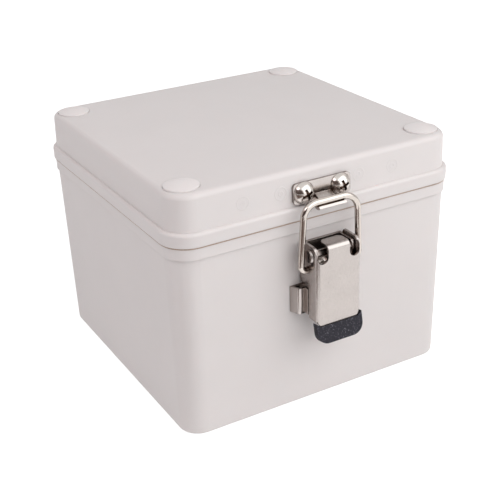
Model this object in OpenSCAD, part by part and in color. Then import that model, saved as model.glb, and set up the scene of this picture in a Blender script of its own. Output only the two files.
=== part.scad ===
// Moulded enclosure with a hinged lid and a draw latch on its front.
// Origin: centre of the underside. +Z is up and the latch is on the -Y side.

/* [Case] */
// Outer width across the lid collar
case_w = 125; // [115:1:170]
// Outer depth across the lid collar
case_d = 125; // [115:1:170]
// Height of the seam between base and lid
seam_z = 79; // [72:0.5:120]
// Corner radius of the lid collar, seen from above
corner_r = 11; // [9:0.5:13]
// Wall thickness of base and lid
wall_t = 3; // [2.6:0.1:3.6]
// Open gap that shows between base and lid
seam_gap = 0.6; // [0.2:0.1:0.8]

/* [Base] */
// Thickness of the floor
floor_t = 3; // [2:0.1:5]
// Height of the rim band under the seam
rim_h = 4.5; // [3.5:0.1:6]
// How far the rim band lies behind the lid collar
rim_inset = 0.6; // [0:0.1:1]
// How far the wall lies behind the rim band
rim_step = 0.7; // [0.3:0.1:1.2]
// Draft of each base wall, from the rim down to the underside
base_draft = 1.3; // [0.2:0.1:2.5]
// Edge radius around the underside
foot_round = 1; // [0.5:0.1:2]
// Distance of the wall mounting holes from the collar faces
mount_inset = 14.5; // [14:0.5:22]
// Diameter of the wall mounting holes
mount_hole_d = 4.6; // [3.4:0.1:5.5]
// Diameter of the raised ring round each mounting hole
mount_ring_d = 11; // [9:0.5:13]
// Height of that ring above the floor
mount_ring_h = 2; // [1:0.5:5]
// Distance of the inner plate's posts from the collar faces
post_inset = 30; // [28:0.5:40]
// Diameter of the posts
post_d = 8; // [6:0.5:10]
// Height of the posts above the floor
post_h = 8; // [4:0.5:15]
// Diameter of the pilot holes in the posts
pilot_d = 3.3; // [2.4:0.1:4]

/* [Lid] */
// Height of the lid above the seam
lid_h = 19.5; // [18.5:0.5:40]
// Height of the collar band above the seam
collar_h = 5.5; // [4.5:0.1:5.8]
// Radius of the collar's upper edge
collar_round = 1.2; // [0.5:0.1:1.4]
// How far the lid wall lies behind the collar
lid_step = 1.4; // [0.8:0.1:1.8]
// Draft of each lid wall, from the collar up to the top
lid_draft = 0.5; // [0.2:0.1:0.9]
// Radius of the lid's top edge
top_round = 2.2; // [1:0.1:2.8]
// Thickness of the lid's top
top_t = 3; // [2:0.1:3.2]

/* [Seal] */
// Width of the seal strip
seal_w = 2; // [1.4:0.1:2.2]
// Height of the seal strip
seal_h = 2.6; // [2:0.1:3.4]
// Distance of the seal from the collar faces
seal_inset = 1.2; // [1:0.1:1.4]

/* [Corner caps] */
// Diameter of the caps
cap_d = 13; // [12:0.2:13.6]
// Distance of the cap centres from the collar's side faces
cap_side = 10.2; // [10:0.1:12]
// Distance of the cap centres from its front and rear faces
cap_front = 11.4; // [10.6:0.1:12.4]
// Height of the dome above the lid's top
cap_rise = 1.6; // [1:0.1:2.4]
// Height of the cap's edge above the lid's top
cap_edge = 0.5; // [0.2:0.1:0.7]
// Depth of the recess that the cap sits in
cap_seat = 0.6; // [0.5:0.1:1.4]
// Open ring round the cap
cap_gap = 0.1; // [0.05:0.05:0.3]
// Diameter of the cap's plug
plug_d = 10; // [7:0.5:11]
// Length of the cap's plug below its seat
plug_h = 5; // [3:0.5:6]

/* [Screws] */
// Thread diameter of the pan-head screws
screw_d = 4; // [3:0.5:4.5]
// Diameter of the heads on the hinges and behind the lever
head_d = 8; // [6.5:0.1:8.4]
// Height of those heads
head_h = 3; // [2.4:0.1:3.2]
// Width of the nuts across their flats
nut_af = 7; // [6:0.5:7]
// Height of the nuts
nut_h = 3.2; // [2:0.1:4]
// Distance between the two screws of a hinge leaf or of the keeper
screw_pitch = 15.8; // [15.2:0.1:16.2]

/* [Latch] */
// Place of the latch across the front, from the middle
latch_x = -1; // [-8:0.5:8]
// Thickness of the stamped sheet
sheet_t = 1; // [0.8:0.1:1.1]
// Width of the lever over its cheeks
lever_w = 19.6; // [19:0.2:22]
// Distance of the lever's front from the collar face
lever_out = 10.6; // [10.2:0.1:11]
// Height of the pivot below the seam
pivot_drop = 11.9; // [11.2:0.1:13]
// Distance of the pivot from the collar face
pivot_out = 6; // [5.8:0.1:6.4]
// Diameter of the pivot rivet
rivet_d = 3.2; // [2.4:0.1:3.6]
// Diameter of the rivet's heads
rivet_head_d = 5.2; // [4.5:0.1:5.6]
// How far the bail's pins lie below the pivot
pin_drop = 6.1; // [5.8:0.1:6.6]
// How far the bail's pins lie behind the pivot
pin_back = 1.5; // [1.2:0.1:1.8]
// How far the relief notches reach below the pivot
notch_drop = 2.3; // [2:0.1:3]
// Height of the lever's top above the pivot
tab_rise = 4.4; // [4:0.1:4.8]
// Width of the lever's top tab
tab_w = 9.4; // [8:0.2:10]
// Length of the plain lever below the pivot
lever_len = 27.8; // [27:0.2:30]
// Depth of the lever's side flanges
flange_d = 5.6; // [5:0.1:5.8]
// Length of the grip
grip_h = 7.2; // [6.4:0.2:9]
// Thickness of the grip
grip_t = 2.6; // [2.4:0.1:3.4]
// Radius of the grip's lower corners
grip_r = 4.6; // [3:0.2:5]
// Outward lean of the grip
grip_lean = 12; // [0:1:18]
// How far the tops of the bracket's wings lie below the pivot
wing_drop = 14.3; // [14:0.1:15.4]
// Height of the wings
wing_h = 10.7; // [9.5:0.1:11.5]
// How far the wings' fronts stand out beside the lever's cheeks
wing_gap = 2.6; // [2:0.1:3]
// Distance of the wings' fronts from the collar face
wing_out = 2.6; // [2.2:0.1:2.8]
// Lean of the wings' sides, outwards to the wall
wing_lean = 22; // [10:1:30]
// How far the bracket's upper screw lies below the pivot
screw_high = 9.4; // [9:0.1:9.8]
// How far its lower screw lies below the pivot
screw_low = 20.6; // [19.4:0.2:21.4]

/* [Bail and keeper] */
// Diameter of the bail wire
wire_d = 2.5; // [2:0.1:2.8]
// Height of the bail's bar above the seam
bar_rise = 8.2; // [8:0.1:8.6]
// Distance of the bail's bar from the collar face
bar_out = 5.2; // [5:0.1:5.6]
// Radius of the bail's upper left bend
bail_bend = 5.5; // [5:0.5:7]
// Radius of its wider upper right bend
bail_sweep = 7; // [5.5:0.5:7]
// Outward splay of the bail's legs
bail_splay = 2.8; // [1:0.2:3.4]
// Gap between the lever's cheeks and the bail's legs
bail_gap = 1.7; // [1.5:0.05:2]
// Distance of the keeper's ends from its screws
keeper_end = 4.5; // [4.3:0.1:6]
// Height of the keeper plate
keeper_h = 7.9; // [7.4:0.1:8.4]
// Height of the keeper's screws above the seam
keeper_rise = 10.4; // [10.2:0.1:11]
// Thickness of the keeper
keeper_t = 1.1; // [0.8:0.1:1.3]
// Width of the keeper's hook
hook_w = 12; // [9:0.5:13]
// Diameter of the heads of the keeper's screws
keeper_head_d = 8.6; // [8:0.1:9]
// Height of those heads
keeper_head_h = 3.1; // [2.6:0.1:3.4]
// Play of the bail's bar in the hook
hook_gap = 0.5; // [0.45:0.05:0.7]

/* [Hinges] */
// Distance of each hinge from the middle
hinge_x = 25.4; // [22:0.2:34]
// Width of a hinge leaf
leaf_w = 26; // [25:0.5:30]
// Thickness of a hinge leaf
leaf_t = 1.2; // [0.8:0.1:1.4]
// Length of a hinge leaf from its pin to its edge
leaf_h = 16.8; // [16.4:0.2:17]
// Height of the screws above or below the hinge pin
leaf_screw = 12; // [12:0.1:12.4]
// Distance of the hinge pin from the collar face
hinge_out = 3; // [2.8:0.1:3.6]
// Outer diameter of the knuckles
knuckle_d = 5.2; // [4.6:0.1:5.4]
// Diameter of the hinge pin
hinge_pin_d = 2.8; // [2:0.1:3]
// Width of the middle knuckle, which is on the lid leaf
knuckle_w = 9; // [7:0.5:12]

/* [Hidden] */

$fn = 64;
// Overshoot of cuts
cut = 1;
// Radial clearance of pressed, sealed and screwed pieces
fit = 0.05;
// Radial clearance of a pin that turns
run = 0.05;
// Clearance between faces that move past each other
slip = 0.3;
// Radial clearance of a screw in its hole
hole_gap = 0.25;
// How far a screw's end stands out of its nut
screw_end = 0.8;
// Skirt that keeps metal edges round
edge_r = 1.5;

abs_grey = [0.84, 0.83, 0.82];
steel = [0.78, 0.77, 0.75];
seal_brown = [0.25, 0.18, 0.15];
grip_slate = [0.2, 0.2, 0.23];

rim_top = seam_z - seam_gap / 2;
rim_z = rim_top - rim_h;
lid_bottom = seam_z + seam_gap / 2;
collar_z = seam_z + collar_h;
top_z = seam_z + lid_h;
base_angle = atan(base_draft / rim_z);
lid_angle = atan(lid_draft / (top_z - collar_z));

pivot_z = seam_z - pivot_drop;
pin_z = pivot_z - pin_drop;
pin_out = pivot_out - pin_back;
bar_z = seam_z + bar_rise;
wire_r = wire_d / 2;

// How far the base wall lies behind the collar face at height z
function base_in(z) = rim_inset + rim_step + base_draft * (rim_z - z) / rim_z;
// How far the lid wall lies behind the collar face at height z
function lid_in(z) = lid_step + lid_draft * (z - collar_z) / (top_z - collar_z);

// Shared helpers

// Puts a child at the four corner centres of the case
module at_corners(inset) {
    for (sx = [-1, 1], sy = [-1, 1])
        translate([sx * (case_w / 2 - inset), sy * (case_d / 2 - inset), 0]) children();
}

// Puts a child at the four cap centres
module at_caps() {
    for (sx = [-1, 1], sy = [-1, 1])
        translate([sx * (case_w / 2 - cap_side), sy * (case_d / 2 - cap_front), 0]) children();
}

// Rounded rectangle made of true arcs
module round_rect(w, h, r) {
    square([w - 2 * r, h], center = true);
    square([w, h - 2 * r], center = true);
    for (sx = [-1, 1], sy = [-1, 1])
        translate([sx * (w / 2 - r), sy * (h / 2 - r)]) circle(r);
}

// Outline of the case, drawn in by inset
module case_outline(inset) {
    round_rect(case_w - 2 * inset, case_d - 2 * inset, corner_r - inset);
}

// Half section of a drafted block, out from the axis of its corners, with rounded edges where asked
module wall_section(z0, z1, r0, r1, round0, round1) {
    a = atan((r1 - r0) / (z1 - z0));
    low = [r0 + round0 * (tan(a) - 1 / cos(a)), z0 + round0];
    high = [r1 - round1 * (tan(a) + 1 / cos(a)), z1 - round1];
    polygon([
        [0, z0],
        [low[0], z0],
        low,
        low + round0 * [cos(a), -sin(a)],
        high + round1 * [cos(a), -sin(a)],
        high,
        [high[0], z1],
        [0, z1]
    ]);
    if (round0 > 0) translate(low) circle(round0);
    if (round1 > 0) translate(high) circle(round1);
}

// Block with drafted walls: insets at its bottom and top, with rounded edges where asked
module drafted_block(z0, z1, inset0, inset1, round0 = 0, round1 = 0) {
    r0 = corner_r - inset0;
    r1 = corner_r - inset1;
    core_w = case_w - 2 * corner_r;
    core_d = case_d - 2 * corner_r;
    translate([0, 0, z0]) linear_extrude(z1 - z0) square([core_w, core_d], center = true);
    for (s = [0, 1]) {
        mirror([s, 0, 0]) translate([core_w / 2, 0, 0]) rotate([90, 0, 0])
            linear_extrude(core_d, center = true) wall_section(z0, z1, r0, r1, round0, round1);
        mirror([0, s, 0]) translate([0, core_d / 2, 0]) rotate([90, 0, 90])
            linear_extrude(core_w, center = true) wall_section(z0, z1, r0, r1, round0, round1);
    }
    at_corners(corner_r) rotate_extrude() wall_section(z0, z1, r0, r1, round0, round1);
}

// Extrudes along X a profile drawn as (distance out from the front collar face, height)
module out_profile(width, x) {
    translate([x, -case_d / 2, 0]) rotate([90, 0, -90])
        linear_extrude(width, center = true) children();
}

// Cylinder along X at a given distance out and height
module cross_pin(d, width, x, out, z) {
    translate([x, -case_d / 2 - out, z]) rotate([0, 90, 0]) cylinder(d = d, h = width, center = true);
}

// Local frames on the front walls: Z points out of the wall and Y up along it
module on_base_wall(x, z) {
    translate([x, -case_d / 2 + base_in(z), z]) rotate([90 + base_angle, 0, 0]) children();
}
module on_lid_wall(x, z) {
    translate([x, -case_d / 2 + lid_in(z), z]) rotate([90 - lid_angle, 0, 0]) children();
}

// The same on the rear
module rear() {
    mirror([0, 1, 0]) children();
}

// Pan-head screw through a plate on a wall, with a cross recess
module wall_screw(plate_t, d = head_d, h = head_h) {
    dome_r = (d * d / 4 + h * h) / (2 * h);
    recess_w = 0.26 * screw_d;
    difference() {
        translate([0, 0, plate_t]) {
            intersection() {
                translate([0, 0, h - dome_r]) sphere(dome_r);
                cylinder(d = d + cut, h = h);
            }
        }
        for (a = [0, 90])
            translate([0, 0, plate_t + h]) rotate([0, 0, a + 20])
                cube([d / 2, recess_w, h], center = true);
    }
    shank = plate_t + wall_t + nut_h + screw_end;
    translate([0, 0, plate_t - shank]) cylinder(d = screw_d, h = shank);
}

// Hexagon nut on the inner face of a wall
module wall_nut() {
    translate([0, 0, -wall_t - nut_h]) difference() {
        cylinder(d = nut_af / cos(30), h = nut_h, $fn = 6);
        translate([0, 0, -cut]) cylinder(d = screw_d + 2 * fit, h = nut_h + 2 * cut);
    }
}

// Hole through a wall and whatever lies on it
module wall_hole() {
    depth = 3 * wall_t + 2 * leaf_t;
    cylinder(d = screw_d + 2 * hole_gap, h = 2 * depth, center = true);
}

// Places of the screws
module at_keeper_screws() {
    for (s = [-1, 1]) on_lid_wall(latch_x + s * screw_pitch / 2, seam_z + keeper_rise) children();
}
module at_latch_screws() {
    for (drop = [screw_high, screw_low]) on_base_wall(latch_x, pivot_z - drop) children();
}
module at_hinge_base_screws(sides = [-1, 1]) {
    for (side = sides, s = [-1, 1])
        rear() on_base_wall(side * hinge_x + s * screw_pitch / 2, seam_z - leaf_screw) children();
}
module at_hinge_lid_screws(sides = [-1, 1]) {
    for (side = sides, s = [-1, 1])
        rear() on_lid_wall(side * hinge_x + s * screw_pitch / 2, seam_z + leaf_screw) children();
}

// Base

module base_box() {
    wall_in = rim_inset + rim_step;
    color(abs_grey) difference() {
        union() {
            difference() {
                union() {
                    drafted_block(0, rim_z + cut, wall_in + base_draft, wall_in, round0 = foot_round);
                    translate([0, 0, rim_z]) linear_extrude(rim_h) case_outline(rim_inset);
                }
                drafted_block(floor_t, rim_top + cut, base_in(floor_t) + wall_t,
                              base_in(rim_top + cut) + wall_t);
            }
            translate([0, 0, floor_t / 2]) {
                at_corners(mount_inset) cylinder(d = mount_ring_d, h = floor_t / 2 + mount_ring_h);
                at_corners(post_inset) cylinder(d = post_d, h = floor_t / 2 + post_h);
            }
        }
        at_corners(mount_inset) translate([0, 0, -cut])
            cylinder(d = mount_hole_d, h = floor_t + mount_ring_h + 2 * cut);
        at_corners(post_inset) translate([0, 0, floor_t]) cylinder(d = pilot_d, h = post_h + cut);
        at_latch_screws() wall_hole();
        at_hinge_base_screws() wall_hole();
    }
}

// Lid

module lid() {
    well_floor = 2;
    well_wall = 2.2;
    well_z = top_z - cap_seat - plug_h - fit;
    color(abs_grey) difference() {
        union() {
            difference() {
                union() {
                    drafted_block(lid_bottom, top_z, lid_step, lid_step + lid_draft,
                                  round1 = top_round);
                    drafted_block(lid_bottom, collar_z, 0, 0, round1 = collar_round);
                }
                drafted_block(lid_bottom - cut, top_z - top_t, lid_in(lid_bottom - cut) + wall_t,
                              lid_in(top_z - top_t) + wall_t);
            }
            translate([0, 0, well_z - well_floor]) at_caps()
                cylinder(d = plug_d + 2 * well_wall, h = top_z - top_t / 2 - well_z + well_floor);
        }
        at_caps() {
            translate([0, 0, top_z - cap_seat]) cylinder(d = cap_d + 2 * cap_gap, h = cap_seat + cut);
            translate([0, 0, well_z]) cylinder(d = plug_d + 2 * fit, h = top_z - well_z);
        }
        translate([0, 0, lid_bottom - cut]) linear_extrude(seal_h - seam_gap + fit + cut) difference() {
            case_outline(seal_inset - fit);
            case_outline(seal_inset + seal_w + fit);
        }
        at_keeper_screws() wall_hole();
        at_hinge_lid_screws() wall_hole();
    }
}

module lid_seal() {
    color(seal_brown) translate([0, 0, rim_top]) linear_extrude(seal_h) difference() {
        case_outline(seal_inset);
        case_outline(seal_inset + seal_w);
    }
}

// Domed cap with a plug, at the corner on the given sides
module corner_cap(sx, sy) {
    rise = cap_rise - cap_edge;
    dome_r = (cap_d * cap_d / 4 + rise * rise) / (2 * rise);
    color(abs_grey) translate([sx * (case_w / 2 - cap_side), sy * (case_d / 2 - cap_front), top_z]) {
        intersection() {
            translate([0, 0, cap_rise - dome_r]) sphere(dome_r, $fn = 96);
            translate([0, 0, -cap_seat]) cylinder(d = cap_d, h = cap_seat + cap_rise + cut);
        }
        translate([0, 0, -cap_seat - plug_h]) cylinder(d = plug_d, h = plug_h + cap_seat / 2);
    }
}

// Keeper

module keeper_plate() {
    hook_r = wire_r + hook_gap;
    root_z = seam_z + keeper_rise - keeper_h / 8;
    neck_w = min(screw_pitch - keeper_head_d - 2 * slip, hook_w);
    // Angles of the hook's trough round the bar, from its neck to its lip
    neck_a = 200;
    lip_a = 312;
    reach = 4 * hook_r;
    low_r = hook_r + keeper_t;
    // End of the neck, a little way into the trough and inside its thickness
    function in_trough(r) = [bar_out + r * cos(neck_a + 8), bar_z + r * sin(neck_a + 8)];
    neck_in = in_trough(hook_r + keeper_t / 8);
    neck_low = in_trough(low_r - keeper_t / 8);
    plate_out = keeper_t / 2 - lid_in(root_z);
    color(steel) {
        difference() {
            union() {
                on_lid_wall(latch_x, seam_z + keeper_rise)
                    linear_extrude(keeper_t) round_rect(screw_pitch + 2 * keeper_end, keeper_h, edge_r);
                out_profile(neck_w, latch_x) polygon([
                    [plate_out, root_z],
                    neck_in,
                    neck_low,
                    [plate_out, root_z - 1.2 * keeper_t]
                ]);
            }
            at_keeper_screws() wall_hole();
        }
        out_profile(hook_w, latch_x) translate([bar_out, bar_z]) difference() {
            intersection() {
                circle(hook_r + keeper_t);
                polygon([
                    [0, 0],
                    reach * [cos(neck_a), sin(neck_a)],
                    reach * [cos((neck_a + lip_a) / 2), sin((neck_a + lip_a) / 2)],
                    reach * [cos(lip_a), sin(lip_a)]
                ]);
            }
            circle(hook_r);
        }
    }
}

module keeper_screws() {
    color(steel) at_keeper_screws() wall_screw(keeper_t, keeper_head_d, keeper_head_h);
}

module keeper_nuts() {
    color(steel) at_keeper_screws() wall_nut();
}

// Latch

// Inner width between the lever's cheeks, less the play of the bracket
bracket_w = lever_w - 2 * sheet_t - 2 * slip;

// Sheet that lies on the base wall between two heights
module wall_sheet(z0, z1) {
    polygon([
        [-base_in(z0), z0],
        [-base_in(z1), z1],
        [-base_in(z1) + sheet_t, z1],
        [-base_in(z0) + sheet_t, z0]
    ]);
}

wing_high = pivot_z - wing_drop;
wing_low = wing_high - wing_h;
flange_back = lever_out - flange_d;

// Half widths of the wings at their fronts and at the wall
wing_half = lever_w / 2 + wing_gap;
wing_foot = fit - base_in(wing_high);
foot_half = wing_half + (wing_out - wing_foot) * tan(wing_lean);

// Plan of the bracket's wings: out from the wall, in towards the lever and out along its flange
module wing_section() {
    inner_half = lever_w / 2 - sheet_t;
    bend_r = 1.4 * sheet_t;
    skin = sheet_t / cos(wing_lean);
    rise = tan(wing_lean);
    for (s = [0, 1]) mirror([s, 0]) {
        difference() {
            wall_section(wing_foot, wing_out, foot_half, wing_half, 0, bend_r);
            wall_section(wing_foot - cut, wing_out - sheet_t, foot_half + cut * rise - skin,
                         wing_half + sheet_t * rise - skin, 0, 0);
            translate([-cut, wing_foot - 2 * cut])
                square([inner_half + cut, wing_out - wing_foot + 4 * cut]);
        }
        translate([inner_half, wing_out - sheet_t])
            square([sheet_t, flange_back - 2 * slip - wing_out + sheet_t]);
    }
}

module latch_bracket() {
    bracket_top = pivot_z + rivet_head_d / 2 + slip;
    cheek_low = pin_z + wire_r;
    cheek_front = pivot_out + rivet_d / 2 + slip;
    cheek_back = sheet_t / 2 - base_in(bracket_top);
    cheek_h = bracket_top - cheek_low;
    color(steel) difference() {
        union() {
            out_profile(bracket_w, latch_x) wall_sheet(wing_low, bracket_top);
            out_profile(2 * foot_half - sheet_t, latch_x) wall_sheet(wing_low, wing_high);
            for (s = [-1, 1]) out_profile(sheet_t, latch_x + s * (bracket_w - sheet_t) / 2)
                translate([cheek_back, cheek_low]) intersection() {
                    translate([0, cheek_h / 2])
                        round_rect(2 * (cheek_front - cheek_back), cheek_h, edge_r);
                    square([cheek_front - cheek_back, cheek_h]);
                }
            translate([latch_x, -case_d / 2, wing_low]) mirror([0, 1, 0])
                linear_extrude(wing_h) wing_section();
        }
        cross_pin(rivet_d + 2 * fit, lever_w, latch_x, pivot_out, pivot_z);
        at_latch_screws() wall_hole();
    }
}

module latch_screws() {
    color(steel) at_latch_screws() wall_screw(sheet_t);
}

module latch_nuts() {
    color(steel) at_latch_screws() wall_nut();
}

// Section of the lever's channel: an open box with rounded front corners
module channel_section(w, front, r) {
    translate([-w / 2, 0]) square([w, front - r]);
    translate([r - w / 2, 0]) square([w - 2 * r, front]);
    for (s = [-1, 1]) translate([s * (w / 2 - r), front - r]) circle(r);
}

lever_top = pivot_z + tab_rise;
plate_low = pivot_z - lever_len;
flange_low = plate_low + 0.4 * grip_r;
// Cut of the lever's lower corners, which the grip's horns fill
corner_cut = 1.8 * sheet_t;
// Tongue of the lever inside the grip
tongue_w = lever_w - 2 * corner_cut - 2 * slip;
tongue_h = grip_h - edge_r;

// Shows a child in the frame of the leaning grip, with its origin in the middle of the sheet
module on_grip() {
    translate([latch_x, -case_d / 2 - lever_out + sheet_t / 2, plate_low])
        rotate([90 - grip_lean, 0, 0]) children();
}

// Outline of the tongue, grown all round and risen at its root
module tongue_shape(grow, rise) {
    translate([0, -tongue_h / 2]) round_rect(tongue_w + 2 * grow, tongue_h + 2 * grow, 2 * edge_r);
    translate([-tongue_w / 2 - grow, -tongue_h / 2])
        square([tongue_w + 2 * grow, tongue_h / 2 + rise]);
}

// Side view of the lever: cheeks round the pivot, flanges below them and the plate's lower end
module lever_side(notch_z) {
    cheek_back = -0.9;
    cheek_top = lever_top - sheet_t / 4;
    flange_top = wing_high + 1.6;
    cheek_w = lever_out - cheek_back;
    front_r = (lever_out - sheet_t / 2 - pivot_out) * 0.8;
    translate([cheek_back + cheek_w / 2, (flange_top + pivot_z) / 2])
        round_rect(cheek_w, pivot_z - flange_top, edge_r);
    intersection() {
        translate([pivot_out, pivot_z]) circle(pivot_out - cheek_back);
        translate([cheek_back, flange_top])
            square([pivot_out - cheek_back, cheek_top - flange_top]);
    }
    translate([pivot_out, (flange_top + cheek_top) / 2])
        round_rect(2 * (lever_out - sheet_t / 2 - pivot_out), cheek_top - flange_top, front_r);
    translate([flange_back, flange_low]) square([flange_d, notch_z - flange_low]);
    translate([lever_out - sheet_t, plate_low]) square([sheet_t, notch_z - plate_low]);
}

// Side view of the top tab, bent back over the pivot
module tab_side(tab_back, low_z) {
    bend = 2 * sheet_t;
    bend_z = lever_top - bend;
    difference() {
        union() {
            translate([lever_out - bend, low_z]) square([bend, bend_z - low_z]);
            translate([tab_back, bend_z]) square([lever_out - bend - tab_back, bend]);
            translate([lever_out - bend, bend_z]) circle(bend);
        }
        translate([lever_out - bend, bend_z]) circle(bend - sheet_t);
        translate([tab_back - cut, low_z - cut])
            square([lever_out - sheet_t - tab_back + cut, bend_z - low_z + cut]);
        translate([tab_back - cut, bend_z - cut])
            square([lever_out - bend - tab_back + cut, bend - sheet_t + cut]);
    }
}

module latch_lever() {
    bend_r = 1.5 * sheet_t;
    tab_back = pivot_out - 0.6 * rivet_d;
    notch_in = tab_w / 2;
    notch_out = lever_w / 2 - 0.5 * sheet_t;
    notch_r = (notch_out - notch_in) / 2;
    notch_z = pivot_z - notch_drop + notch_r;
    corner_h = flange_low - plate_low;
    color(steel) difference() {
        union() {
            intersection() {
                translate([latch_x, -case_d / 2, plate_low]) mirror([0, 1, 0])
                    linear_extrude(lever_top - plate_low) difference() {
                        translate([0, -cut]) channel_section(lever_w, lever_out + cut, bend_r);
                        translate([0, -2 * cut]) channel_section(lever_w - 2 * sheet_t,
                            lever_out - sheet_t + 2 * cut, bend_r - sheet_t);
                    }
                out_profile(lever_w + cut, latch_x) lever_side(notch_z);
            }
            intersection() {
                out_profile(tab_w, latch_x) tab_side(tab_back, notch_z - notch_r);
                translate([latch_x, -case_d / 2 - lever_out, 0]) linear_extrude(case_d)
                    round_rect(tab_w, 2 * (lever_out - tab_back), 1.4 * edge_r);
            }
            on_grip() translate([0, 0, -sheet_t / 2]) linear_extrude(sheet_t)
                tongue_shape(0, slip);
        }
        for (s = [0, 1]) translate([latch_x, bend_r - lever_out - case_d / 2, 0]) mirror([s, 0, 0])
            rotate([90, 0, 0]) linear_extrude(bend_r + cut) {
                translate([notch_in + notch_r, notch_z]) circle(notch_r);
                translate([notch_in, notch_z]) square([2 * notch_r, lever_top]);
                polygon([
                    [lever_w / 2 - corner_cut, plate_low],
                    [lever_w / 2 + corner_cut, plate_low],
                    [lever_w / 2 + corner_cut, plate_low + 2 * corner_h]
                ]);
            }
        // Relief holes at the tops of the slits beside the flanges
        cross_pin(sheet_t, lever_w + cut, latch_x, flange_back - 0.3 * sheet_t, wing_high + 1.6);
        cross_pin(rivet_d + 2 * run, lever_w + 2 * cut, latch_x, pivot_out, pivot_z);
        cross_pin(wire_d + 2 * run, lever_w + 2 * cut, latch_x, pin_out, pin_z);
    }
}

module lever_grip() {
    half_w = lever_w / 2 + slip;
    far_w = half_w + corner_cut;
    horn_h = flange_low - plate_low - slip;
    skin = sheet_t / 2;
    color(grip_slate) on_grip() difference() {
        translate([0, 0, sheet_t / 2 + skin - grip_t]) linear_extrude(grip_t) intersection() {
            round_rect(2 * half_w, 2 * grip_h, grip_r);
            polygon([
                [-far_w, -grip_h - cut],
                [far_w, -grip_h - cut],
                [far_w, 2 * horn_h],
                [half_w - corner_cut, -slip / 2],
                [corner_cut - half_w, -slip / 2],
                [-far_w, 2 * horn_h]
            ]);
        }
        translate([0, 0, -sheet_t / 2 - fit]) linear_extrude(sheet_t + 2 * fit)
            tongue_shape(fit, cut);
    }
}

module pivot_rivet() {
    head_t = 0.5 * bail_gap - slip / 3;
    color(steel) {
        cross_pin(rivet_d, lever_w + slip, latch_x, pivot_out, pivot_z);
        for (s = [-1, 1])
            translate([latch_x + s * (lever_w / 2 + slip / 3), -case_d / 2 - pivot_out, pivot_z])
            rotate([0, s * 90, 0]) cylinder(d1 = rivet_head_d, d2 = rivet_head_d - head_t, h = head_t);
    }
}

// Arc of the bail wire in its own plane, from angle a0 through the given sweep
module wire_arc(centre, r, a0, sweep) {
    translate(centre) rotate([0, 0, a0]) rotate_extrude(angle = sweep) translate([r, 0]) circle(wire_r);
}

module bail_wire() {
    length = norm([bar_out - pin_out, bar_z - pin_z]);
    lean = atan((bar_out - pin_out) / (bar_z - pin_z));
    foot_bend = 1.8 * wire_r;
    leg_x = lever_w / 2 + bail_gap + wire_r;
    foot_x = leg_x - foot_bend * cos(bail_splay);
    pin_end = lever_w / 2 - sheet_t;
    // Length of a leg and half length of the bar, for an upper bend of the given radius
    function leg(bend) =
        (length - bend - foot_bend + (bend - foot_bend) * sin(bail_splay)) / cos(bail_splay);
    function bar_half(bend) = leg_x - bend * cos(bail_splay) - leg(bend) * sin(bail_splay);
    // The straights are a hair thinner than the bends and reach a little way into them
    straight_r = wire_r - fit / 2;
    lap = wire_r / 8;
    color(steel) translate([latch_x, -case_d / 2 - pin_out, pin_z]) rotate([90 + lean, 0, 0]) {
        translate([-bar_half(bail_bend) - lap, length, 0]) rotate([0, 90, 0])
            cylinder(r = straight_r, h = bar_half(bail_bend) + bar_half(bail_sweep) + 2 * lap);
        for (s = [0, 1]) mirror([1 - s, 0, 0]) {
            bend = s == 0 ? bail_bend : bail_sweep;
            wire_arc([bar_half(bend), length - bend, 0], bend, bail_splay, 90 - bail_splay);
            translate([leg_x, foot_bend * (1 + sin(bail_splay)), 0]) rotate([-90, 0, bail_splay])
                translate([0, 0, -lap]) cylinder(r = straight_r, h = leg(bend) + 2 * lap);
            wire_arc([foot_x, foot_bend, 0], foot_bend, -90, 90 + bail_splay);
            translate([pin_end, 0, 0]) rotate([0, 90, 0])
                cylinder(r = straight_r, h = foot_x - pin_end + lap);
        }
    }
}

// Hinges

// How far a wall lies behind the collar face at height z: up is 1 on the lid and -1 on the base
function wall_in(z, up) = up > 0 ? lid_in(z) : base_in(z);

// Profile of a leaf that runs along the collar and steps down to a wall, from step_z on
module leaf_profile(step_z, edge_z, up) {
    inner = hinge_out - knuckle_d / 2;
    flat_z = step_z + up * (inner + wall_in(step_z, up));
    turn_z = flat_z + up * leaf_t * tan(22.5);
    polygon([
        [inner, seam_z],
        [inner, step_z],
        [-wall_in(flat_z, up), flat_z],
        [-wall_in(edge_z, up), edge_z],
        [leaf_t - wall_in(edge_z, up), edge_z],
        [leaf_t - wall_in(turn_z, up), turn_z],
        [inner + leaf_t, step_z + up * leaf_t * tan(22.5)],
        [inner + leaf_t, seam_z]
    ]);
}

// Keeps a leaf inside its rounded outline
module leaf_outline(x, edge_z) {
    tall = 2 * abs(edge_z - seam_z);
    translate([x, 0, seam_z]) rotate([90, 0, 0]) linear_extrude(2 * case_d, center = true)
        round_rect(leaf_w, tall, edge_r);
}

// Box that spans the knuckles, with the leaf's root, over a given width
module knuckle_space(x, width, margin) {
    reach = knuckle_d / 2 + margin;
    translate([x, -case_d / 2 - hinge_out, seam_z])
        cube([width, 2 * (hinge_out + reach), 2 * reach], center = true);
}

knuckle_gap = 0.2;

module hinge_base_leaf(side) {
    x = side * hinge_x;
    step_z = rim_z - slip;
    edge_z = seam_z - leaf_h;
    color(steel) difference() {
        rear() difference() {
            union() {
                intersection() {
                    out_profile(leaf_w, x) leaf_profile(step_z, edge_z, -1);
                    leaf_outline(x, edge_z);
                }
                cross_pin(knuckle_d, leaf_w, x, hinge_out, seam_z);
            }
            knuckle_space(x, knuckle_w + 2 * knuckle_gap, slip);
            cross_pin(hinge_pin_d + 2 * fit, leaf_w + cut, x, hinge_out, seam_z);
        }
        at_hinge_base_screws([side]) wall_hole();
    }
}

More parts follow.
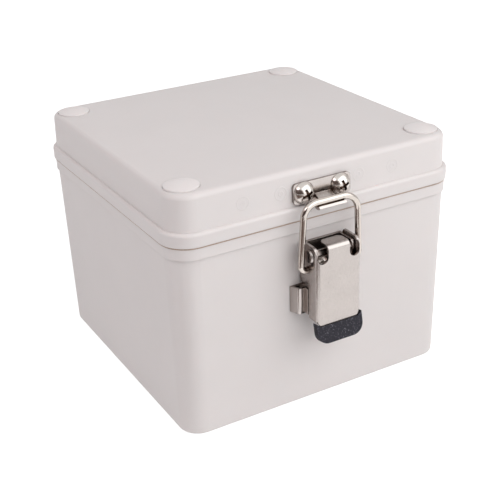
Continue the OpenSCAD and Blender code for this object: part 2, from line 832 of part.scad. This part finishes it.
module hinge_lid_leaf(side) {
    x = side * hinge_x;
    step_z = collar_z + slip;
    edge_z = seam_z + leaf_h;
    side_w = (leaf_w - knuckle_w) / 2;
    color(steel) difference() {
        rear() difference() {
            union() {
                intersection() {
                    out_profile(leaf_w, x) leaf_profile(step_z, edge_z, 1);
                    leaf_outline(x, edge_z);
                }
                cross_pin(knuckle_d, knuckle_w, x, hinge_out, seam_z);
            }
            for (s = [-1, 1])
                knuckle_space(x + s * (knuckle_w + side_w + cut) / 2, side_w + cut, slip);
            cross_pin(hinge_pin_d + 2 * run, leaf_w + cut, x, hinge_out, seam_z);
        }
        at_hinge_lid_screws([side]) wall_hole();
    }
}

module hinge_pin(side) {
    color(steel) rear() cross_pin(hinge_pin_d, leaf_w + 0.6, side * hinge_x, hinge_out, seam_z);
}

module hinge_base_screws() {
    color(steel) at_hinge_base_screws() wall_screw(leaf_t);
}

module hinge_lid_screws() {
    color(steel) at_hinge_lid_screws() wall_screw(leaf_t);
}

module hinge_base_nuts() {
    color(steel) at_hinge_base_screws() wall_nut();
}

module hinge_lid_nuts() {
    color(steel) at_hinge_lid_screws() wall_nut();
}

base_box();
lid();
lid_seal();
corner_cap(-1, -1);  // cap_front_left
corner_cap(1, -1);  // cap_front_right
corner_cap(-1, 1);  // cap_rear_left
corner_cap(1, 1);  // cap_rear_right
keeper_plate();
keeper_screws();
keeper_nuts();
latch_bracket();
latch_screws();
latch_nuts();
latch_lever();
lever_grip();
pivot_rivet();
bail_wire();
hinge_base_leaf(-1);  // hinge_left_base_leaf
hinge_lid_leaf(-1);  // hinge_left_lid_leaf
hinge_pin(-1);  // hinge_left_pin
hinge_base_leaf(1);  // hinge_right_base_leaf
hinge_lid_leaf(1);  // hinge_right_lid_leaf
hinge_pin(1);  // hinge_right_pin
hinge_base_screws();
hinge_lid_screws();
hinge_base_nuts();
hinge_lid_nuts();
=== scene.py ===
import math

import bpy
from mathutils import Matrix, Vector


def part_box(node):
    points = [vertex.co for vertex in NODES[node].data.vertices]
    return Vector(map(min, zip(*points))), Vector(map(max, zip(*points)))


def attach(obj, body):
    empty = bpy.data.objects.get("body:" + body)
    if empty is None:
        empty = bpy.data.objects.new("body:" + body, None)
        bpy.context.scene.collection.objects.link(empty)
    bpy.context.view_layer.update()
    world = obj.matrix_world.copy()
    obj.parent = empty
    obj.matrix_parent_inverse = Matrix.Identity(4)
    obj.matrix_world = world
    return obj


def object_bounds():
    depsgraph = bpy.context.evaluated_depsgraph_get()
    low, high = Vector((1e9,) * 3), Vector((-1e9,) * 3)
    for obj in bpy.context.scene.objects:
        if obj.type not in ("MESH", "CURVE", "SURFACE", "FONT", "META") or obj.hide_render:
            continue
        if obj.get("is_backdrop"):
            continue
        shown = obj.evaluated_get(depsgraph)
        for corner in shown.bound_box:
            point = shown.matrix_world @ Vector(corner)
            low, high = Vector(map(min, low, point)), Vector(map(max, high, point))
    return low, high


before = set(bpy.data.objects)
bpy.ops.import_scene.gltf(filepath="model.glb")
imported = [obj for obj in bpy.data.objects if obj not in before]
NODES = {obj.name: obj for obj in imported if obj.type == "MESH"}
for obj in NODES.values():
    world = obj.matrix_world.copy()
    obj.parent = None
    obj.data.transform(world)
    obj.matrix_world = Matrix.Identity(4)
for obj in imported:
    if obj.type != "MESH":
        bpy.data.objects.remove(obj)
CAD_LOW, CAD_HIGH = (Vector(c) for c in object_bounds())
MM = 0.001


# Shared helpers

def link_object(name, data):
    obj = bpy.data.objects.new(name, data)
    bpy.context.scene.collection.objects.link(obj)
    return obj


def mesh_object(name, points, faces, material):
    mesh = bpy.data.meshes.new(name)
    mesh.from_pydata(points, [], faces)
    mesh.materials.append(material)
    return link_object(name, mesh)


def sheet_object(name, size, material):
    """Flat rectangle about the origin, facing up."""
    w, h = (v / 2 for v in size)
    corners = [(-w, -h, 0), (w, -h, 0), (w, h, 0), (-w, h, 0)]
    return mesh_object(name, corners, [(0, 1, 2, 3)], material)


def tube_faces(first, rows, count):
    """Quads of a closed tube whose rows of count points start at point first."""
    faces = []
    for i in range(rows):
        for j in range(count):
            k, m = (i + 1) % rows, (j + 1) % count
            corners = ((i, j), (k, j), (k, m), (i, m))
            faces.append(tuple(first + a * count + b for a, b in corners))
    return faces


def turned_to(place, aim):
    """Rotation that points a lamp or a card at its aim."""
    return (Vector(aim) - Vector(place)).to_track_quat("-Z", "Y").to_euler()


def node_of_type(tree, kind):
    return next(n for n in tree.nodes if n.type == kind)


def plain_material(name, colour, rough):
    material = bpy.data.materials.new(name)
    material.use_nodes = True
    shader = node_of_type(material.node_tree, "BSDF_PRINCIPLED")
    shader.inputs["Base Color"].default_value = (*colour, 1)
    shader.inputs["Roughness"].default_value = rough
    return material


# Camera, at the photograph's angle

FRAME_PX = 500
FOCAL_PX = 1020.13
SENSOR_MM = 36.0
AZIMUTH, ELEVATION, ROLL = (math.radians(a) for a in (-29.09, 25.44, -2.13))
CAMERA_AT = Vector((-192.1, -349.7, 229.4)) * MM
CLIP_NEAR, CLIP_FAR = 0.01, 20


def make_camera():
    data = bpy.data.cameras.new("camera")
    data.sensor_width = SENSOR_MM
    data.lens = SENSOR_MM * FOCAL_PX / FRAME_PX
    data.clip_start, data.clip_end = CLIP_NEAR, CLIP_FAR
    cam = link_object("camera", data)
    back = Vector((
        math.sin(AZIMUTH) * math.cos(ELEVATION),
        -math.cos(AZIMUTH) * math.cos(ELEVATION),
        math.sin(ELEVATION),
    ))
    right = (-back).cross(Vector((0, 0, 1))).normalized()
    up = right.cross(-back)
    right, up = (
        right * math.cos(ROLL) + up * math.sin(ROLL),
        up * math.cos(ROLL) - right * math.sin(ROLL),
    )
    turn = Matrix((right, up, back)).transposed().to_4x4()
    cam.matrix_world = Matrix.Translation(CAMERA_AT) @ turn
    bpy.context.scene.camera = cam


# Materials

# Ambient occlusion levels over which the painted shade in steel recesses fades in
RECESS_DEEP, RECESS_OPEN = 0.3, 0.8


class Nodes:
    """Shorthand for building a node material in the part's own coordinates."""

    def __init__(self, name):
        self.material = bpy.data.materials.new(name)
        self.material.use_nodes = True
        self.tree = self.material.node_tree
        self.shader = node_of_type(self.tree, "BSDF_PRINCIPLED")
        self.coords = self.add("ShaderNodeTexCoord").outputs["Object"]

    def add(self, kind, **inputs):
        node = self.tree.nodes.new(kind)
        for key, value in inputs.items():
            node.inputs[key.replace("_", " ")].default_value = value
        return node

    def link(self, out, into):
        self.tree.links.new(out, into)

    def stretched(self, scale):
        node = self.add("ShaderNodeMapping", Scale=scale)
        self.link(self.coords, node.inputs["Vector"])
        return node.outputs["Vector"]

    def noise(self, scale, detail=2.0, roughness=0.5, coords=None):
        node = self.add(
            "ShaderNodeTexNoise", Scale=scale, Detail=detail, Roughness=roughness,
        )
        self.link(coords or self.coords, node.inputs["Vector"])
        return node.outputs["Fac"]

    def ramp(self, fac, stops):
        node = self.add("ShaderNodeValToRGB")
        ramp = node.color_ramp
        while len(ramp.elements) < len(stops):
            ramp.elements.new(0.5)
        for element, (place, colour) in zip(ramp.elements, stops):
            element.position = place
            element.color = (*colour, 1)
        self.link(fac, node.inputs["Fac"])
        return node.outputs["Color"]

    def range(self, value, low, high, start=0.0, end=1.0):
        node = self.add(
            "ShaderNodeMapRange", From_Min=start, From_Max=end, To_Min=low, To_Max=high,
        )
        self.link(value, node.inputs["Value"])
        return node.outputs["Result"]

    def bump(self, height, distance, strength, normal=None):
        node = self.add("ShaderNodeBump", Strength=strength, Distance=distance)
        self.link(height, node.inputs["Height"])
        if normal:
            self.link(normal, node.inputs["Normal"])
        return node.outputs["Normal"]

    def mixed(self, fac, colour, other):
        """Blend from a colour output to one plain colour."""
        node = self.add("ShaderNodeMix")
        node.data_type = "RGBA"
        colours = [s for s in node.inputs if s.type == "RGBA"]
        self.link(fac, node.inputs["Factor"])
        self.link(colour, colours[0])
        colours[1].default_value = (*other, 1)
        return next(s for s in node.outputs if s.type == "RGBA")

    def painted_shade_mask(self, reach):
        """Mask for painted shade: 1 deep in recesses and between close parts, 0 on open
        faces.
        """
        node = self.add("ShaderNodeAmbientOcclusion", Distance=reach)
        return self.range(node.outputs["AO"], 1.0, 0.0, RECESS_DEEP, RECESS_OPEN)

    def soft_edges(self, radius):
        return self.add("ShaderNodeBevel", Radius=radius).outputs["Normal"]

    def set(self, **sockets):
        for key, value in sockets.items():
            socket = self.shader.inputs[key.replace("_", " ")]
            if isinstance(value, bpy.types.NodeSocket):
                self.link(value, socket)
            else:
                socket.default_value = value


def shades_of(colour, darker):
    return tuple(c * darker for c in colour), colour


ABS_COLOUR = (0.775, 0.729, 0.719)
CAP_LIGHTER = 1.1
ABS_EDGE = 0.4 * MM
ABS_DEEP = 0.2


def moulded_abs(name, colour, deep=ABS_DEEP, edge=ABS_EDGE):
    """Pale satin ABS with a fine spark-eroded grain and a faint cloudiness."""
    n = Nodes(name)
    cloud = n.noise(45, detail=3)
    grain = n.noise(3200, detail=2)
    dark, pale = shades_of(colour, 0.985)
    n.set(
        Base_Color=n.ramp(cloud, [(0.35, dark), (0.65, pale)]),
        Roughness=n.range(grain, 0.42, 0.52),
        Normal=n.bump(grain, 0.02 * MM, 0.35, n.soft_edges(edge) if edge else None),
        Specular_IOR_Level=0.6,
        Subsurface_Weight=deep,
        Subsurface_Radius=(1.0, 0.8, 0.74),
        Subsurface_Scale=1.5 * MM,
    )
    return n.material


STEEL_COLOUR = (0.61, 0.565, 0.53)
SATIN_COLOUR = (0.47, 0.43, 0.41)
WIRE_COLOUR = (0.57, 0.52, 0.477)
# Dark brown colour and search reach of the painted shade in the steel's recesses and between
# close parts
PAINTED_SHADE_COLOUR = (0.11, 0.064, 0.042)
RECESS_REACH = 5 * MM
STEEL_EDGE = 0.25 * MM
BRUSHED_UPRIGHT = (9000, 9000, 500)
ROLLED_LEVEL = (900, 900, 9000)
ALL_WAYS = (2500, 2500, 2500)


def bright_steel(name, colour, rough, marks_scale):
    """Bright steel with fine surface marks, and painted shade that darkens it brown in its
    recesses and between close parts.
    """
    n = Nodes(name)
    marks = n.noise(1.0, detail=4, roughness=0.6, coords=n.stretched(marks_scale))
    smudge = n.noise(160, detail=3)
    dark, pale = shades_of(colour, 0.94)
    unshaded = n.ramp(smudge, [(0.3, dark), (0.7, pale)])
    n.set(
        # Painted shade: the colour turns dark brown where ambient occlusion finds recesses
        # and close parts
        Base_Color=n.mixed(n.painted_shade_mask(RECESS_REACH), unshaded, PAINTED_SHADE_COLOUR),
        Roughness=n.range(marks, rough * 0.75, rough * 1.25, 0.3, 0.7),
        Normal=n.bump(marks, 0.01 * MM, 0.25, n.soft_edges(STEEL_EDGE)),
        Metallic=1.0,
    )
    return n.material


def dark_grip(name):
    """Dark slate dipped plastic with a fine pale fleck."""
    n = Nodes(name)
    fleck = n.noise(1500, detail=3, roughness=0.7)
    n.set(
        Base_Color=n.ramp(fleck, [
            (0.4, (0.012, 0.011, 0.017)),
            (0.58, (0.022, 0.02, 0.03)),
            (0.68, (0.17, 0.165, 0.19)),
        ]),
        Roughness=n.range(fleck, 0.5, 0.7),
        Normal=n.bump(fleck, 0.08 * MM, 0.5),
        Specular_IOR_Level=0.28,
    )
    return n.material


def foam_rubber(name):
    """Brown sealing strip with open pores."""
    n = Nodes(name)
    pores = n.noise(1800, detail=3)
    n.set(
        Base_Color=n.ramp(pores, [
            (0.35, (0.45, 0.32, 0.25)),
            (0.7, (0.56, 0.42, 0.34)),
        ]),
        Roughness=n.range(pores, 0.75, 0.95),
        Normal=n.bump(pores, 0.08 * MM, 0.6),
    )
    return n.material


def dress_nodes():
    case = moulded_abs("abs_case", ABS_COLOUR)
    cap = moulded_abs("abs_cap", tuple(c * CAP_LIGHTER for c in ABS_COLOUR))
    satin = bright_steel("steel_satin", SATIN_COLOUR, 0.26, BRUSHED_UPRIGHT)
    sheet = bright_steel("steel_sheet", SATIN_COLOUR, 0.2, ROLLED_LEVEL)
    wire = bright_steel("steel_wire", WIRE_COLOUR, 0.15, ALL_WAYS)
    bolts = bright_steel("steel_fasteners", STEEL_COLOUR, 0.2, ALL_WAYS)
    chosen = {
        "base_box": case,
        "lid": case,
        "lid_seal": foam_rubber("seal_foam"),
        "lever_grip": dark_grip("grip_slate"),
        "bail_wire": wire,
        "keeper_plate": sheet,
        "latch_bracket": sheet,
        "latch_lever": satin,
        "pivot_rivet": satin,
    }
    for name, node in NODES.items():
        if name in chosen:
            material = chosen[name]
        elif name.startswith("cap_"):
            material = cap
        elif name.endswith("leaf"):
            material = sheet
        else:
            material = bolts
        for place in node.material_slots:
            place.material = material


# Faint round marks moulded on the lid's front wall, each of two low rings

MARKS_MIDDLE, MARKS_OUT = -1.0 * MM, (16.9 * MM, 32.5 * MM)
MARKS_Z = 90.75 * MM
MARK_RINGS = (2.4 * MM, 0.85 * MM)
MARK_HALF, MARK_HIGH = 0.25 * MM, 0.03 * MM
ROUND, ACROSS = 48, 10


def make_marks():
    points, faces = [], []
    for x in (side * out for side in (-1, 1) for out in MARKS_OUT):
        aim = Vector((MARKS_MIDDLE + x, CAD_LOW.y, MARKS_Z))
        _, middle, normal, _ = NODES["lid"].ray_cast(aim, Vector((0, 1, 0)))
        up = Vector((0, 0, 1))
        up = (up - normal * up.dot(normal)).normalized()
        along = up.cross(normal)
        for radius in MARK_RINGS:
            faces += tube_faces(len(points), ROUND, ACROSS)
            for i in range(ROUND):
                turn = math.tau * i / ROUND
                outward = along * math.cos(turn) + up * math.sin(turn)
                for j in range(ACROSS):
                    lean = math.tau * j / ACROSS
                    wide = radius + MARK_HALF * math.cos(lean)
                    high = MARK_HIGH * math.sin(lean)
                    points.append(middle + outward * wide + normal * high)
    material = moulded_abs("abs_marks", ABS_COLOUR, deep=0.0, edge=None)
    piece = mesh_object("lid_marks", points, faces, material)
    piece.data.shade_smooth()
    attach(piece, "lid")


# Edge of the seal, which shows as a thin brown line round the seam

SEAM_Z = 79 * MM
CORNER_R = 11 * MM
LIP_OUT, LIP_IN, LIP_BULGE = 0.2 * MM, 1.2 * MM, 0.12 * MM
LIP_LOW, LIP_HIGH = SEAM_Z - 0.28 * MM, SEAM_Z + 0.35 * MM
LIP_SECTION = (
    (LIP_OUT + LIP_BULGE, LIP_LOW),
    (LIP_OUT, (LIP_LOW + LIP_HIGH) / 2),
    (LIP_OUT + LIP_BULGE, LIP_HIGH),
    (LIP_IN, LIP_HIGH),
    (LIP_IN, LIP_LOW),
)
CORNERS = ((1, 1), (-1, 1), (-1, -1), (1, -1))
CORNER_STEPS = 12


def make_seal_lip(foam):
    low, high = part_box("lid")
    centre = [(low[i] + high[i]) / 2 for i in (0, 1)]
    half = [(high[i] - low[i]) / 2 - CORNER_R for i in (0, 1)]
    points = []
    for quarter, (sx, sy) in enumerate(CORNERS):
        for i in range(CORNER_STEPS + 1):
            turn = math.pi / 2 * (quarter + i / CORNER_STEPS)
            for inset, z in LIP_SECTION:
                r = CORNER_R - inset
                points.append((
                    centre[0] + sx * half[0] + r * math.cos(turn),
                    centre[1] + sy * half[1] + r * math.sin(turn),
                    z,
                ))
    count = len(LIP_SECTION)
    faces = tube_faces(0, len(points) // count, count)
    piece = mesh_object("seal_lip", points, faces, foam)
    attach(piece, "lid")


# Stage

FLOOR_SIDE = 8.0
FLOOR_DROP = 0.2 * MM
FLOOR_COLOUR = (0.75, 0.75, 0.75)
FLOOR_GLOW = 0.75
WORLD_FILL, WORLD_SEEN = 0.43, 1.0
CARD_COLOUR = (0.2, 0.14, 0.12)
STAGE_ROUGH = 0.9


def math_node(tree, operation, first, second):
    node = tree.nodes.new("ShaderNodeMath")
    node.operation = operation
    for value, socket in zip((first, second), node.inputs):
        if isinstance(value, bpy.types.NodeSocket):
            tree.links.new(value, socket)
        else:
            socket.default_value = value
    return node.outputs[0]


def backdrop_rays(tree):
    """1 for rays that show the backdrop itself, seen, mirrored or through glass."""
    rays = tree.nodes.new("ShaderNodeLightPath").outputs
    mirrored = math_node(tree, "MAXIMUM", rays["Is Glossy Ray"], rays["Is Transmission Ray"])
    return math_node(tree, "MAXIMUM", rays["Is Camera Ray"], mirrored)


def make_floor():
    material = plain_material("floor_white", FLOOR_COLOUR, STAGE_ROUGH)
    tree = material.node_tree
    glow = tree.nodes.new("ShaderNodeEmission")
    strength = math_node(tree, "MULTIPLY", backdrop_rays(tree), FLOOR_GLOW)
    tree.links.new(strength, glow.inputs["Strength"])
    both = tree.nodes.new("ShaderNodeAddShader")
    tree.links.new(node_of_type(tree, "BSDF_PRINCIPLED").outputs[0], both.inputs[0])
    tree.links.new(glow.outputs[0], both.inputs[1])
    out = node_of_type(tree, "OUTPUT_MATERIAL")
    tree.links.new(both.outputs[0], out.inputs["Surface"])
    floor = sheet_object("floor", (FLOOR_SIDE, FLOOR_SIDE), material)
    floor.location = (0, 0, -FLOOR_DROP)
    floor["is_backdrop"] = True


def make_world():
    world = bpy.data.worlds.new("studio")
    bpy.context.scene.world = world
    world.use_nodes = True
    tree = world.node_tree
    back = node_of_type(tree, "BACKGROUND")
    back.inputs["Color"].default_value = (1, 1, 1, 1)
    level = tree.nodes.new("ShaderNodeMapRange")
    level.inputs["To Min"].default_value = WORLD_FILL
    level.inputs["To Max"].default_value = WORLD_SEEN
    tree.links.new(backdrop_rays(tree), level.inputs["Value"])
    tree.links.new(level.outputs["Result"], back.inputs["Strength"])


def soft_box(name, place, aim, size, power, colour=(1, 1, 1)):
    data = bpy.data.lights.new(name, "AREA")
    data.shape = "RECTANGLE"
    data.size, data.size_y = size
    data.energy = power
    data.color = colour
    lamp = link_object(name, data)
    lamp.location = place
    lamp.rotation_euler = turned_to(place, aim)


def dark_card(name, place, aim, size):
    """Unlit card out of the picture, which only reflections show."""
    material = plain_material(name, CARD_COLOUR, STAGE_ROUGH)
    card = sheet_object(name, size, material)
    card.location = place
    card.rotation_euler = turned_to(place, aim)
    card.visible_camera = False
    card.visible_diffuse = False
    card.visible_shadow = False
    card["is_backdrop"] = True


CASE_MIDDLE = (0, 0, 0.08)
CASE_LEFT = (-0.04, 0, 0.08)


def make_lights():
    soft_box(
        "key_right", place=(0.17, -0.45, 0.39), aim=(0, -0.02, 0.07),
        size=(0.9, 0.6), power=2.45,
    )
    soft_box(
        "fill_left", place=(-0.32, -0.11, 0.38), aim=CASE_LEFT,
        size=(0.14, 0.14), power=0.24, colour=(1, 0.86, 0.89),
    )
    soft_box(
        "rim_left", place=(-0.42, 0.28, 0.36), aim=CASE_LEFT,
        size=(0.14, 0.14), power=0.17, colour=(1, 0.9, 0.92),
    )
    dark_card("card_left", place=(-0.87, -0.5, 0.35), aim=CASE_MIDDLE, size=(2.2, 0.9))
    dark_card("card_right", place=(0.95, 0.35, 0.25), aim=CASE_MIDDLE, size=(0.8, 0.5))
    # These two lie on the floor, in front of the latch and of the left corner
    dark_card(
        "card_low", place=(-0.035, -0.225, 0.0002), aim=(-0.035, -0.225, 1),
        size=(0.17, 0.07),
    )
    dark_card(
        "card_floor", place=(-0.35, -0.28, 0.0003), aim=(-0.35, -0.28, 1),
        size=(0.52, 0.42),
    )


bpy.context.scene.view_settings.view_transform = "Standard"
make_camera()
dress_nodes()
make_marks()
make_seal_lip(NODES["lid_seal"].material_slots[0].material)
make_floor()
make_world()
make_lights()
